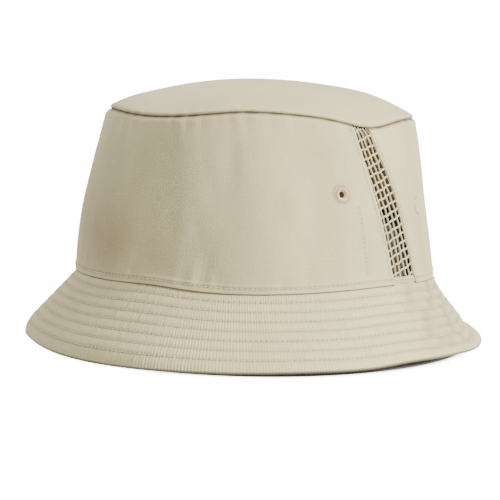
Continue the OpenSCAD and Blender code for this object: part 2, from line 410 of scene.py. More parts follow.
def cotton(name, colour, worn_colour, shade_colour, rib_pitch, rib_turn, rib_depth, roughness, sheen):
    finish, tree, shader = new_finish(name, roughness, sheen, 0.45, 0.2)
    uv = shade_node(tree, "UVMap", uv_map="Cloth")
    place = shade_node(tree, "TexCoord", output="Object")
    ribs = rib_wave(tree, uv, rib_pitch, rib_turn, 0.9)
    warp = yarn_noise(tree, uv, 0.5 * MM, 9 * MM)
    weft = yarn_noise(tree, uv, 9 * MM, 0.6 * MM)
    dye = shade_node(tree, "TexNoise", {"Vector": place, "Scale": 24.0, "Detail": 2.0})
    patch = shade_node(tree, "TexNoise", {"Vector": place, "Scale": 85.0, "Detail": 4.0})
    cords = calc(tree, "MULTIPLY", rib_wave(tree, uv, CORD_PITCH, 0, 0.7),
                 shade_node(tree, "Attribute", attribute_name="cord", output="Fac"))
    shade = shade_node(tree, "Attribute", attribute_name="shade", output="Fac")
    wear = shade_node(tree, "Attribute", attribute_name="wear", output="Fac")
    yarn = calc(tree, "ADD", warp, weft)
    tone = calc(tree, "MULTIPLY_ADD", yarn, 0.16, calc(tree, "MULTIPLY_ADD", dye, 0.28, 0.70))
    tone = calc(tree, "MULTIPLY_ADD", patch, 0.08, calc(tree, "SUBTRACT", tone, 0.04))
    tone = calc(tree, "MULTIPLY_ADD", ribs, 0.10, calc(tree, "SUBTRACT", tone, 0.05))
    tone = calc(tree, "MULTIPLY_ADD", cords, 0.22, tone)
    grey = shade_node(tree, "CombineColor", {0: tone, 1: tone, 2: tone})
    base = tint(tree, "MULTIPLY", 1.0, colour, grey)
    # Painted shade: the shade measure mixes in the dark colour; then wear lightens rubbed places.
    base = tint(tree, "MIX", calc(tree, "MULTIPLY", shade, 0.8), base, shade_colour)
    base = tint(tree, "MIX", calc(tree, "MULTIPLY", wear, 0.6), base, worn_colour)
    rough = calc(tree, "MULTIPLY_ADD", patch, 0.14, roughness - 0.07)
    height = calc(tree, "MULTIPLY_ADD", ribs, 0.8, calc(tree, "MULTIPLY", yarn, 0.7))
    height = calc(tree, "MULTIPLY_ADD", cords, 1.6, height)
    bump = shade_node(tree, "Bump", {"Strength": 0.55, "Distance": rib_depth, "Height": height})
    fold = shade_node(tree, "Bump", {"Strength": 0.35, "Distance": 0.6 * MM, "Height": patch,
                                     "Normal": bump})
    plug(tree, shader, {"Base Color": base, "Roughness": rough, "Normal": fold})
    return finish


TWILL = cotton("khaki_twill", (0.60, 0.515, 0.275, 1), (0.76, 0.68, 0.43, 1), (0.14, 0.10, 0.05, 1),
               RIB_PITCH, 58, 0.16 * MM, 0.88, 0.12)
# The sweatband and the seam tape are dark brown, partly their cloth's colour and partly painted shade, so
# that the net's holes read dark in front of them.
BAND_COTTON = cotton("sweatband_cotton", (0.10, 0.075, 0.048, 1), (0.16, 0.12, 0.08, 1),
                     (0.05, 0.037, 0.024, 1), 0.7 * MM, 90, 0.12 * MM, 0.92, 0.1)
TAPE_COTTON = cotton("seam_tape", (0.11, 0.083, 0.053, 1), (0.17, 0.13, 0.09, 1), (0.05, 0.037, 0.024, 1),
                     0.8 * MM, 45, 0.12 * MM, 0.9, 0.1)
STIFFENER = cotton("stiffener", (0.80, 0.79, 0.76, 1), (0.86, 0.85, 0.82, 1), (0.45, 0.43, 0.39, 1),
                   1.2 * MM, 0, 0.1 * MM, 0.95, 0.0)
print("cotton finishes:", TWILL.name, BAND_COTTON.name, TAPE_COTTON.name, STIFFENER.name)

# %% [markdown]
# ## Thread and mesh
# Thread is two or three plies twisted together, so its surface has slanted ridges and a soft shine.
# The pieces made of thread are small and lie all over the hat, so their pattern reads plain Object
# coordinates: a fine noise for the plies and a wider one for the lights and darks of the yarn.

# %% The thread finishes
def spun(name, colour, deep_colour, ply, roughness, sheen):
    finish, tree, shader = new_finish(name, roughness, sheen, 0.35, 0.35)
    place = shade_node(tree, "TexCoord", output="Object")
    plies = shade_node(tree, "TexNoise", {"Vector": place, "Scale": 1 / ply, "Detail": 2.0})
    tone = shade_node(tree, "TexNoise", {"Vector": place, "Scale": 160.0, "Detail": 3.0})
    mottled = calc(tree, "MULTIPLY", calc(tree, "ADD", plies, tone), 0.5)
    base = tint(tree, "MIX", shade_node(tree, "MapRange", {0: mottled, 1: 0.35, 2: 0.62}),
                deep_colour, colour)
    bump = shade_node(tree, "Bump", {"Strength": 0.5, "Distance": 0.08 * MM, "Height": plies})
    rough = calc(tree, "MULTIPLY_ADD", tone, 0.2, roughness - 0.1)
    plug(tree, shader, {"Base Color": base, "Roughness": rough, "Normal": bump})
    return finish


THREAD = spun("khaki_thread", (0.74, 0.66, 0.47, 1), (0.55, 0.47, 0.30, 1), 0.25 * MM, 0.7, 0.15)
EYELET_THREAD = spun("cream_thread", (0.82, 0.66, 0.38, 1), (0.58, 0.43, 0.22, 1), 0.22 * MM, 0.7, 0.1)
MESH_YARN = spun("mesh_yarn", (0.62, 0.54, 0.33, 1), (0.48, 0.40, 0.24, 1), 0.3 * MM, 0.65, 0.15)
print("thread finishes:", THREAD.name, EYELET_THREAD.name, MESH_YARN.name)

# %% [markdown]
# ## Label satin
# A care label is a ribbon of white satin. Its long floats run across the ribbon, so a finely stretched
# noise gives the brushed look, with a lower roughness than cotton and a little sheen. It stays blank.

# %% The satin finish
LABEL_SATIN, tree, shader = new_finish("label_satin", 0.42, 0.2, 0.3, 0.45)
uv = shade_node(tree, "UVMap", uv_map="Cloth")
floats = yarn_noise(tree, uv, 4 * MM, 0.25 * MM)
edges = rib_wave(tree, uv, 0.6 * MM, 90, 0.3)
satin = shade_node(tree, "MapRange", {0: floats, 1: 0.3, 2: 0.7, 3: 0.8, 4: 0.92})
plug(tree, shader, {
    "Base Color": shade_node(tree, "CombineColor",
                             {0: satin, 1: satin, 2: calc(tree, "MULTIPLY", satin, 0.98)}),
    "Roughness": calc(tree, "MULTIPLY_ADD", floats, 0.2, 0.32),
    "Normal": shade_node(tree, "Bump", {"Strength": 0.4, "Distance": 0.05 * MM,
                                        "Height": calc(tree, "ADD", floats, edges)})})
print("label finish:", LABEL_SATIN.name)

# %% [markdown]
# ## The side wall
# The wall is cut in a front and a back panel; between them, on each side, a slot leans back down the
# hat and holds the mesh. Each panel's ends are folded under and stitched, its foot is a turned hem that
# stands a little proud of the brim, and its top rolls into the seam with the tip. A lofted grid can hold
# all of that: columns run from slot to slot, rows from the hem to the tip.

# %% Where the slots are
VENT_TOP_Y, VENT_BASE_Y = -14 * MM, 10 * MM
VENT_TOP_WIDTH, VENT_BASE_WIDTH = 11 * MM, 21.5 * MM
SEAM_STITCH_Z = seam_z + 2 * MM
STITCH_PITCH = 2.5 * MM
EYELET_Y = 31.5 * MM
EYELET_Z = {-1: seam_z + 46 * MM, 1: seam_z + 38 * MM}


def vent_middle(z):
    return VENT_TOP_Y + (VENT_BASE_Y - VENT_TOP_Y) * (crown_top - z) / crown_height


def vent_width(z):
    return VENT_TOP_WIDTH + (VENT_BASE_WIDTH - VENT_TOP_WIDTH) * (crown_top - z) / crown_height


def side_angle(y, offset, side):
    """The angle round the oval of a point on a side arc; side is 1 at the wearer's left, -1 at the right."""
    a = np.arcsin(y / (side_radius + offset))
    return a if side > 0 else np.pi - a


def vent_edge_angle(z, edge, side):
    return side_angle(vent_middle(z) + edge * vent_width(z) / 2, wall_offset(z), side)


def to_slot(y, z):
    """Distance from the nearest slot edge of the side, negative inside the slot."""
    return np.abs(y - vent_middle(z)) - vent_width(z) / 2


# %% [markdown]
# The wall's middle surface is one function of angle and height, so that the stitches, the eyelets and
# the mesh can ask it where the cloth is. It adds the relief, the folded slot edges, the sewn grooves and
# the hem. Below the seam line it stays just outside the brim's cloth.

# %% The wall's surface
def groove(distance, width, depth):
    return -depth * bell(distance, width)


def wall_profile(z):
    """Extra offset of the wall's middle, from the rolled top seam and the proud hem, in metres."""
    from_top = (crown_top - z) / MM
    from_seam = (z - seam_z) / MM
    roll = -1.3 * (1 - smooth((from_top - 0.15) / 1.6)) ** 2 - 1.0 * np.exp(-np.clip(from_top, 0, 99) / 2.2)
    roll = roll + 0.3 * bell(from_top - 2.4, 1.3)
    hem = 0.5 * (1 - smooth((from_seam - 2.6) / 1.6))
    stitched = groove(from_seam - 2.0, 0.45, 0.32)
    return (roll + hem + stitched) * MM


def slot_fold(y, z):
    d = to_slot(y, z) / MM
    return (0.32 * (1 - smooth((d - 2.6) / 1.2)) + groove(d - 2.0, 0.4, 0.26)) * MM


def wall_point(angle, z, depth):
    """The wall at a depth inside its outer face; the slot edges are read from the point's own y."""
    offset = wall_offset(z)
    x, y = oval(angle, offset)
    fade = smooth((crown_top - z) / (4 * MM))
    from_eyelet = np.hypot(np.abs(y) - EYELET_Y, z - np.where(y < 0, EYELET_Z[-1], EYELET_Z[1])) / MM
    dimple = -0.55 * MM * bell(from_eyelet, 4.2) * (np.abs(x) > 40 * MM)
    extra = relief(angle, z) * fade + wall_profile(z) + slot_fold(y, z) * (np.abs(y) < 45 * MM) + dimple
    return on_hat(angle, offset + extra - depth, z)


# %% The two side panels
hem_rows = seam_z + np.array([-0.9, -0.82, -0.62, -0.3, 0.1, 0.5]) * MM
foot_rows = seam_z + np.arange(0.9, 5.0, 0.35) * MM
top_rows = crown_top - np.array([3.4, 2.9, 2.4, 2.0, 1.6, 1.2, 0.85, 0.55, 0.3, 0.12, 0.0]) * MM
plain_rows = np.linspace(foot_rows[-1] + MM, top_rows[0] - MM, 66)
wall_rows = np.concatenate([hem_rows, foot_rows, plain_rows, top_rows])
fold_columns = np.array([0, 0.1, 0.25, 0.5, 0.9, 1.25, 1.6, 2.0, 2.4, 2.8, 3.2, 3.6, 4.0, 4.5]) * MM
PATTERN_LENGTH = 278 * MM
FOLD_ZONE = 5.2 * MM
wide_columns = np.linspace(FOLD_ZONE, PATTERN_LENGTH - FOLD_ZONE, 400)
wall_columns = np.concatenate([fold_columns, wide_columns, (PATTERN_LENGTH - fold_columns)[::-1]])
panel_length = {}

# Painted shade where the cloth turns from the light: the depth of the shade, then the place and size, as for
# a dent.
WALL_SHADES = [(0.44, -101, 16, (30, 16)), (0.36, -109, 44, (24, 30)), (0.30, -46, 36, (14, 36)),
               (0.20, -22, 40, (9, 30)), (0.12, -72, 56, (16, 14)), (0.20, 16, 40, (10, 50))]


def side_panel(half):
    """The front (half = -1) or back (half = 1) panel."""
    z = wall_rows[None, :]
    first, last = (-1, 1) if half < 0 else (1, -1)
    start, end = vent_edge_angle(z, half, first), vent_edge_angle(z, half, last)
    if half < 0:
        start = start - 2 * np.pi
    part = (wall_columns / wall_columns[-1])[:, None]
    angle = start + (end - start) * part
    grid = wall_point(angle, z + 0 * angle, CLOTH / 2)
    along = walked(grid[:, 40])
    uv = np.stack([along[:, None] + 0 * z, z + 0 * angle], -1)
    panel_length[half] = along[-1]
    from_end = np.minimum(along, along[-1] - along)[:, None]
    half_thick = np.minimum(edge_round(from_end, CLOTH / 2), edge_round(z - z[0, 0], CLOTH / 2))
    half_thick = np.minimum(half_thick, edge_round(z[0, -1] - z, CLOTH / 2))
    y_here = oval(angle, wall_offset(z))[1]
    slot = np.where(np.abs(y_here) < 45 * MM, to_slot(y_here, z) / MM, 99)
    from_seam, from_top = (z - seam_z) / MM, (crown_top - z) / MM
    # Painted shade in the stitch grooves above the hem and beside the slots.
    shade = 0.25 * bell(from_seam - 2, 0.5) + 0.3 * bell(slot - 2.0, 0.4)
    # Painted shade: a dark line along the tip seam, stronger in places, and one under the hem.
    uneven = 0.8 + 0.3 * ripples(angle, z, 0)
    shade = shade + 2.2 * uneven * (1 - smooth(from_top / 2.0)) + 2.0 * (1 - smooth((from_seam + 0.9) / 0.7))
    # Painted shade in the needle holes of the foot row.
    foot = grid[:, int(np.argmin(np.abs(z[0] - SEAM_STITCH_Z)))]
    reach = walked(foot)
    hole = np.abs(np.mod(reach / STITCH_PITCH + 0.5, 1) - 0.5) * STITCH_PITCH / MM
    shade = shade + 0.9 * bell(hole[:, None], 0.4) * bell(from_seam - 2, 0.45)
    # Painted shade in a ring round each eyelet.
    at_eyelet = np.hypot(grid[..., 1] - half * EYELET_Y, z - EYELET_Z[half]) / MM
    shade = shade + 0.65 * bell(at_eyelet - 4.15, 0.4)
    # Painted shade patches.
    for depth, *place in WALL_SHADES:
        shade = shade + depth * hollow(angle, z, *place, 1.0)
    # Painted shade in a row of needle holes beside the front slot.
    if half < 0:
        tack = np.abs(grid[..., 1] / MM + 22.4 - 0.079 * (74 - z / MM))
        dots = bell(np.mod(z / STITCH_PITCH, 1) - 0.5, 0.16) * (z > 40 * MM) * (z < 76 * MM)
        shade = shade + 0.8 * dots * bell(tack, 0.5)
    wear = 0.22 * bell(from_seam - 0.4, 0.8) + 0.16 * bell(slot - 0.5, 0.5)
    away = np.hypot(grid[:-1, :-1, 1] - half * EYELET_Y, grid[:-1, :-1, 2] - EYELET_Z[half])
    keep = away > 2.1 * MM
    name = "front_side_panel" if half < 0 else "back_side_panel"
    panel = cloth(name, grid, uv, half_thick + 0 * angle, TWILL, keep=keep, shade=shade + 0 * angle,
                  wear=wear + 0 * angle)
    settle(panel, "twill", "side_panel_front" if half < 0 else "side_panel_back")


for half in (-1, 1):
    side_panel(half)
print(f"panel lengths {panel_length[-1] / MM:.0f} and {panel_length[1] / MM:.0f} mm")

# %% [markdown]
# ## The tip
# The tip is one flat oval of twill. Steam and wear dome it, and its rim rolls down into the seam; a
# narrow dark line of painted shade runs along that seam, between it and the wall. A grid in rings suits
# it: the outer rings draw the rolled rim, the inner ones shrink towards the middle, and the last ring is a
# single point.

# %% The tip panel
TIP_EDGE = 16 * MM
DOME_RADIUS = 146.5 * MM
DOME_SPAN = math.sqrt(2 * DOME_RADIUS * tip_rise - tip_rise ** 2)
RIM_ROLL = [(-16.8, 0.25), (-16.3, 0.22), (-15.8, 0.32), (-15.42, 0.58), (-15.35, 0.90), (-15.60, 1.2)]
tip_angle = np.linspace(0, 2 * np.pi, 400, endpoint=False)[:, None]
rim_rows = np.array(RIM_ROLL) * MM
shrink = np.concatenate([np.linspace(1, 0.9, 16), np.linspace(0.885, 0, 56)])


def tip_height(part, angle):
    """Height of the tip's middle above the seam at a part of the way out from the centre."""
    dome = np.sqrt(DOME_RADIUS ** 2 - (part * DOME_SPAN) ** 2) - math.sqrt(DOME_RADIUS ** 2 - DOME_SPAN ** 2)
    soft = 0.9 * np.sin(2 * angle + 0.6) * part ** 2 * (1 - part) * 4
    soft = soft + 0.5 * np.sin(3 * angle - 1.1) * part ** 3 * (1 - part) * 4
    from_left = np.angle(np.exp(1j * (angle - 0.35)))
    soft = soft + 1.3 * bell(from_left, 0.7) * bell(part - 0.72, 0.17)
    from_right = np.angle(np.exp(1j * (angle - math.radians(-139))))
    soft = soft + 0.9 * bell(from_right, 0.6) * bell(part - 0.88, 0.10)
    gather = 0.35 * ripples(angle, 0, 0) * np.exp(-(1 - part) * 88 / 7) * smooth((1 - part) * 88 / 2)
    return dome * 0.97 + (soft + gather) * MM


def tip_grid():
    rim = []
    for offset, rise in rim_rows:
        x, y = oval(tip_angle, offset)
        rim.append(np.stack([x, y, crown_top + rise + 0 * x + lift(tip_angle, np.array(crown_top))], -1))
    x0, y0 = oval(tip_angle, -TIP_EDGE)
    z = crown_top + 1.35 * MM + tip_height(shrink[None, :], tip_angle)
    z = z + lift(tip_angle, np.array(crown_top)) * shrink[None, :] ** 2
    inner = np.stack([x0 * shrink, y0 * shrink, z], -1)
    grid = np.concatenate([np.concatenate(rim, 1).reshape(len(tip_angle), -1, 3), inner], 1)
    grid[:, -1] = grid[:, -1].mean(0)
    return grid


tip_middle = tip_grid()
from_rim = walked(tip_middle[0])[None, :]
tip_half = edge_round(from_rim, CLOTH / 2) + 0 * tip_angle
# Painted shade: a dark line along the rolled rim, in the seam with the wall.
tip_shade = 1.7 * (0.8 + 0.3 * ripples(tip_angle, 0, 0)) * (1 - smooth(from_rim / (2.5 * MM)))
tip_wear = 0.15 * bell(from_rim / MM - 2.2, 0.8) + 0 * tip_angle
tip = cloth("tip", tip_middle, tip_middle[..., :2], tip_half, TWILL, wrap=True, pole=True,
            shade=tip_shade, wear=tip_wear)
settle(tip, "twill", "tip_panel")

# %% [markdown]
# ## The brim
# Upper and under brim are each two half rings, joined at the sides. The stiffener lies between them and
# seven rows of stitching pull the cloths down on it, so each channel puffs a little and fine puckers run
# across it. We write the brim as a function of the angle, the distance down the slope and the depth
# below its upper face, and every layer takes its own depth.

# %% The brim's surface
BRIM_TUCK = 0.9 * MM
slant = math.hypot(brim_reach + BRIM_TUCK, seam_z)
slope_cos, slope_sin = (brim_reach + BRIM_TUCK) / slant, seam_z / slant
BRIM_LENGTH = 42.6 * MM
ROW_PITCH = 5.2 * MM
ROWS = 7
BRIM_PUCKERS = [(n, rng.uniform(0, 2 * math.pi, ROWS + 2)) for n in (131, 167, 301, 347)]


def brim_bend(angle, s):
    """The brim's free curve across its slope: full at the right front, flared at the left back."""
    part = np.clip(s / BRIM_LENGTH, 0, 1)
    turned = 0.5 + 0.5 * np.cos(angle + math.radians(130))
    bow = (3.0 * turned - 2.4) * 4 * part * (1 - part)
    roll = -2.6 * turned * smooth((s / MM - 32) / 12) ** 2
    dip = -2.4 * (1 - turned) ** 3 * bell(part - 0.84, 0.11)
    return (bow + roll + dip) * MM


def brim_spread(angle, s):
    """How much further out the brim reaches as it widens."""
    return (1.6 + 2.0 * np.cos(angle + math.radians(130)) ** 2) * np.clip(s / BRIM_LENGTH, 0, 1) ** 2 * MM


def row_distance(s):
    """Distance from the nearest stitch row."""
    row = np.clip(np.round(s / ROW_PITCH), 1, ROWS)
    return s - row * ROW_PITCH


def gathers(angle):
    """Where the brim is gathered: just behind the left side seam, and fading towards the back."""
    behind = np.angle(np.exp(1j * angle))
    return smooth((behind + 0.03) / 0.09) * (1 - smooth((behind - 0.38) / 0.3))


def puffs(angle, s):
    """Small puffs between the rows, from 0 in their valleys to 1 on top."""
    channel = np.clip(np.floor(s / ROW_PITCH), 0, ROWS + 1).astype(int)
    phase = BRIM_PUCKERS[0][1][channel]
    return 0.5 + 0.3 * np.cos(31 * angle + 2.6 * channel + phase) + 0.2 * np.cos(53 * angle + 3 * phase)


def brim_quilt(angle, s, shift=0.0):
    """How far a brim cloth stands off the stiffener: channels, rows and puckers."""
    near = row_distance(s) / MM
    inside = smooth((s / MM - 0.5) / 2) * smooth((BRIM_LENGTH - s) / MM / 3)
    channel = np.clip(np.floor(s / ROW_PITCH), 0, ROWS + 1).astype(int)
    between = np.clip(1 - bell(near, 1.1), 0, 1)
    plump = 0.26 + gathers(angle) * (0.15 + 0.9 * puffs(angle, s))
    a = angle + shift
    across = sum(np.cos(n * a + phase[channel]) for n, phase in BRIM_PUCKERS[:2])
    fine = sum(np.cos(n * a + phase[channel]) for n, phase in BRIM_PUCKERS[2:])
    strength = 0.6 + 0.4 * np.cos(5 * a + 1.0)
    puckers = (0.05 * across + 0.055 * fine) * strength * (0.4 + 0.6 * between)
    return (plump * between - 0.24 * bell(near, 0.5) + puckers) * inside * MM


def brim_point(angle, s, depth, quilt=0.0):
    """The brim at a distance down the slope (negative: turned up inside the crown) and a depth."""
    down = 0.5 * (s + np.sqrt(s ** 2 + (0.8 * MM) ** 2))
    up = down - s
    rise = quilt + brim_bend(angle, s) * smooth(s / (6 * MM)) - depth
    offset = -BRIM_TUCK - 0.25 * MM + down * slope_cos + rise * slope_sin + brim_spread(angle, s)
    offset = offset - (1 - slope_sin) * depth * smooth(up / MM)
    z = seam_z - down * slope_sin + up + rise * slope_cos * (1 - smooth(up / MM))
    return on_hat(angle, offset, z)


def upper_face(angle, s, above):
    return brim_point(angle, s, -above, brim_quilt(angle, s))


def under_face(angle, s, above):
    return brim_point(angle, s, BRIM_THICK + above, -brim_quilt(angle, s, 0.7))


# %% The four brim cloths
inner_rows = np.array([-1.6, -1.45, -1.1, -0.6, -0.1, 0.4, 1.0, 1.8, 2.8]) * MM
beside_row = np.array([-1.6, -0.9, -0.45, -0.15, 0.15, 0.45, 0.9, 1.6, 2.6]) * MM
field_rows = [row * ROW_PITCH + beside_row for row in range(1, ROWS + 1)] + [[39.9 * MM, 40.8 * MM]]
edge_rows = BRIM_LENGTH - np.array([1.0, 0.7, 0.45, 0.25, 0.12, 0.04, 0.0]) * MM
brim_rows = np.concatenate([inner_rows, *field_rows, edge_rows])[::-1][None, :]
HALF_COLUMNS = 600


def brim_cloth(name, front, under):
    turn = np.linspace(0, math.pi, HALF_COLUMNS)
    close = np.array([0.0004, 0.0012])
    turn = np.sort(np.concatenate([turn, close, math.pi - close])) - (math.pi if front else 0)
    angle = turn[:, None] + 0 * brim_rows
    s = brim_rows + 0 * angle
    turned_in = smooth(1 - (BRIM_LENGTH - s) / (2.6 * MM))
    depth = CLOTH / 2 + 0.5 * MM * turned_in
    if under:
        grid = brim_point(angle, s, BRIM_THICK - depth, -brim_quilt(angle, s, 0.7))
    else:
        grid = brim_point(angle, s, depth, brim_quilt(angle, s))
    along = walked(grid[:, 60])
    from_side = np.minimum(along, along[-1] - along)[:, None]
    half = np.minimum(edge_round(BRIM_LENGTH - s, CLOTH / 2), edge_round(s - brim_rows[0, -1], CLOTH / 2))
    half = np.minimum(half, edge_round(from_side + 0.12 * MM, CLOTH / 2))
    near = row_distance(s) / MM
    # Painted shade along the stitch rows and in a soft band beside each, weaker in the gathers.
    plain = 1 - 0.5 * gathers(angle)
    shade = 0.28 * plain * bell(near, 0.5) * (s > 3 * MM)
    shade = shade + 0.17 * plain * bell(near - 0.9, 0.9) * (s > 3 * MM)
    # Painted shade in the valleys between the puffs of the gathers.
    valleys = 0.40 * (1 - puffs(angle, s)) ** 1.5 * (1 - smooth((s / MM - 37) / 3))
    shade = shade + gathers(angle) * (0.10 + valleys)
    # A painted shade patch on the brim, at the front towards the wearer's right.
    shade = shade + 0.22 * swell(angle, [(-108, 18, 1 / MM)])
    # Painted shade in the needle holes of each row.
    for row in range(1, ROWS + 1):
        j = int(np.argmin(np.abs(brim_rows[0] - row * ROW_PITCH)))
        reach = walked(grid[:, j])
        count = round(reach[-1] / STITCH_PITCH)
        hole = np.abs(np.mod(reach / reach[-1] * count + 0.5, 1) - 0.5) * STITCH_PITCH / MM
        dots = bell(hole[:, None], 0.38) * bell(s / MM - row * ROW_PITCH / MM, 0.4)
        shade = shade + 0.75 * dots
    # Painted shade along the brim's foot under the hem, left out in the slots.
    y_here = oval(angle, 0 * angle)[1]
    beside_slot = smooth((to_slot(y_here, seam_z) / MM + 1) / 2)
    shade = shade + 1.6 * (1 - smooth((s / MM - 0.4) / 1.4)) * beside_slot
    # Painted shadow along the brim's outer edge.
    shade = shade + 1.8 * (1 - smooth((BRIM_LENGTH - s) / ((1.8 if under else 1.1) * MM)))
    cord = (0.75 + 0.25 * np.cos(9 * angle + 0.09 * s / MM)) * (1 - 0.8 * gathers(angle)) + 0 * s
    wear = 0.28 * bell((BRIM_LENGTH - s) / MM, 0.9)
    uv = np.stack([along[:, None] + 0 * s, -s], -1)
    if under:
        uv = uv + 0.4
        grid, half, shade, wear, cord, uv = (g[::-1] for g in (grid, half, shade, wear, cord, uv))
    return cloth(name, grid, uv, half, TWILL, shade=shade, wear=wear, cord=cord)


for front, half in ((True, "front"), (False, "back")):
    for under, side in ((False, "upper"), (True, "under")):
        piece = brim_cloth(f"{half}_{side}_brim", front, under)
        settle(piece, "twill", f"brim_{side}_{half}")

# %% [markdown]
# The stiffener is a plain ring between the two cloths. It shows only if the hat is taken apart, but it is
# a real piece, so it is made as its own mesh, thinner where the rows squeeze it.

# %% The stiffener
stiff_rows = np.concatenate([[-1.4, -1.2, -0.7, 0, 0.8], np.arange(1.6, 39.2, 0.8), [39.4, 39.6]])
stiff_rows = stiff_rows[::-1][None, :] * MM
angle = np.linspace(0, 2 * math.pi, 360, endpoint=False)[:, None] + 0 * stiff_rows
s = stiff_rows + 0 * angle
squeezed = (0.5 - 0.3 * bell(row_distance(s) / MM, 0.6)) * MM
stiff_half = np.minimum(squeezed, edge_round(s - s.min(), 0.5 * MM))
stiff_half = np.minimum(stiff_half, edge_round(s.max() - s, 0.5 * MM))
ring_uv = np.stack([angle * wall_half_length, -s], -1)
stiff_grid = brim_point(angle, s, BRIM_THICK / 2)
stiffener = cloth("brim_stiffener", stiff_grid, ring_uv, stiff_half, STIFFENER, wrap=True)
settle(stiffener, "interlining", "brim_interlining")

# %% [markdown]
# ## Stitches
# A sewn line is one short arch of thread after another, all alike, so Geometry Nodes make it. The tree
# bends one arch from a Bezier curve, gives it a round section, and sets a copy on every point, turned
# along the seam and with its back to the cloth. The points come from the surfaces above.

# %% Helpers for geometry trees
def new_tree(name, sizes):
    """A geometry tree with a Geometry input, inputs for these sizes, and a Material input."""
    tree = bpy.data.node_groups.new(name, "GeometryNodeTree")
    tree.interface.new_socket(name="Geometry", in_out="INPUT", socket_type="NodeSocketGeometry")
    for label, kind in sizes.items():
        tree.interface.new_socket(name=label, in_out="INPUT", socket_type="NodeSocket" + kind)
    tree.interface.new_socket(name="Material", in_out="INPUT", socket_type="NodeSocketMaterial")
    tree.interface.new_socket(name="Geometry", in_out="OUTPUT", socket_type="NodeSocketGeometry")
    given = tree.nodes.new("NodeGroupInput").outputs
    return tree, given


def geo(tree, kind, inputs=None, prefix="GeometryNode", output=0, **settings):
    return shade_node(tree, kind, inputs, output, prefix, **settings)


def close_tree(tree, given, geometry):
    """Realize Instances, smooth faces and Set Material, then the output."""
    real = geo(tree, "RealizeInstances", {"Geometry": geometry})
    rounded = geo(tree, "SetShadeSmooth", {"Geometry": real})
    painted = geo(tree, "SetMaterial", {"Geometry": rounded, "Material": given["Material"]})
    plug(tree, tree.nodes.new("NodeGroupOutput"), {"Geometry": painted})


def grow(name, host, tree, sizes):
    """Runs the tree on a host mesh and returns the result as a plain mesh object."""
    modifier = host.modifiers.new("Grow", "NODES")
    modifier.node_group = tree
    for item in tree.interface.items_tree:
        if item.in_out == "INPUT" and item.name in sizes:
            modifier[item.identifier] = sizes[item.name]
    bpy.context.view_layer.update()
    evaluated = host.evaluated_get(bpy.context.evaluated_depsgraph_get())
    mesh = bpy.data.meshes.new_from_object(evaluated)
    host.modifiers.clear()
    bpy.data.objects.remove(host)
    mesh.name = name
    piece = bring_in(name, mesh)
    print(f"{name}: {len(mesh.polygons)} faces")
    return piece


# %% The stitch tree
STITCH_TREE, given = new_tree("Running stitch",
                              {"Length": "Float", "Radius": "Float", "Rise": "Float", "Seed": "Int"})
ends = []
for part in (-0.5, 0.5):
    reach = geo(STITCH_TREE, "Math", {0: given["Length"], 1: part}, "ShaderNode", operation="MULTIPLY")
    ends.append(geo(STITCH_TREE, "CombineXYZ", {"X": reach}, "ShaderNode"))
top = geo(STITCH_TREE, "CombineXYZ", {"Z": given["Rise"]}, "ShaderNode")
arch = geo(STITCH_TREE, "CurveQuadraticBezier",
           {"Resolution": 4, "Start": ends[0], "Middle": top, "End": ends[1]})
round_section = geo(STITCH_TREE, "CurvePrimitiveCircle", {"Resolution": 6, "Radius": given["Radius"]})
one = geo(STITCH_TREE, "CurveToMesh", {"Curve": arch, "Profile Curve": round_section,
                                       "Fill Caps": True})
along = geo(STITCH_TREE, "InputNamedAttribute", {"Name": "along"}, data_type="FLOAT_VECTOR")
away = geo(STITCH_TREE, "InputNamedAttribute", {"Name": "away"}, data_type="FLOAT_VECTOR")
facing = geo(STITCH_TREE, "AlignRotationToVector", {"Vector": along}, "FunctionNode", axis="X")
facing = geo(STITCH_TREE, "AlignRotationToVector", {"Rotation": facing, "Vector": away}, "FunctionNode",
             axis="Z", pivot_axis="X")
size = geo(STITCH_TREE, "RandomValue", {2: 0.9, 3: 1.06, "Seed": given["Seed"]}, "FunctionNode", output=1)
row = geo(STITCH_TREE, "InstanceOnPoints", {"Points": given["Geometry"], "Instance": one, "Rotation": facing,
                                            "Scale": size})
close_tree(STITCH_TREE, given, row)
print("stitch tree:", len(STITCH_TREE.nodes), "nodes")


# %% Where the stitches go
def unit(v):
    return v / np.maximum(np.linalg.norm(v, axis=-1, keepdims=True), 1e-12)


def seam_points(surface, angle, level):
    """Evenly spaced stitches along angles and levels on a surface: places, directions, normals."""
    level = level + 0 * angle
    path = surface(angle, level, 0)
    reach = walked(path)
    count = max(1, round(reach[-1] / STITCH_PITCH))
    centre = (np.arange(count) + 0.5) * reach[-1] / count
    here = [np.interp(centre, reach, v) for v in (angle, level)]
    ahead = [np.interp(centre + 0.3 * MM, reach, v) for v in (angle, level)]
    behind = [np.interp(centre - 0.3 * MM, reach, v) for v in (angle, level)]
    direction = unit(surface(*ahead, 0) - surface(*behind, 0))
    turn = surface(here[0] + 0.004, here[1], 0) - surface(here[0] - 0.004, here[1], 0)
    climb = surface(here[0], here[1] + 0.4 * MM, 0) - surface(here[0], here[1] - 0.4 * MM, 0)
    normal = unit(np.cross(turn, climb))
    return surface(*here, 0), direction, normal


STITCH_SIZES = {"Length": 2.1 * MM, "Radius": 0.23 * MM, "Rise": 0.34 * MM}


def sew(name, runs, nodes, seed):
    """Stitches on every run of (places, directions, normals), as one piece."""
    places, directions, normals = (np.concatenate(v) for v in zip(*runs))
    host = bpy.data.meshes.new(name + "_points")
    host.from_pydata([tuple(p) for p in places], [], [])
    for label, values in (("along", directions), ("away", normals)):
        host.attributes.new(label, "FLOAT_VECTOR", "POINT").data.foreach_set("vector", values.ravel())
    piece = grow(name, bring_in(name + "_points", host), STITCH_TREE,
                 {**STITCH_SIZES, "Seed": seed, "Material": THREAD})
    settle(piece, "thread", *nodes)


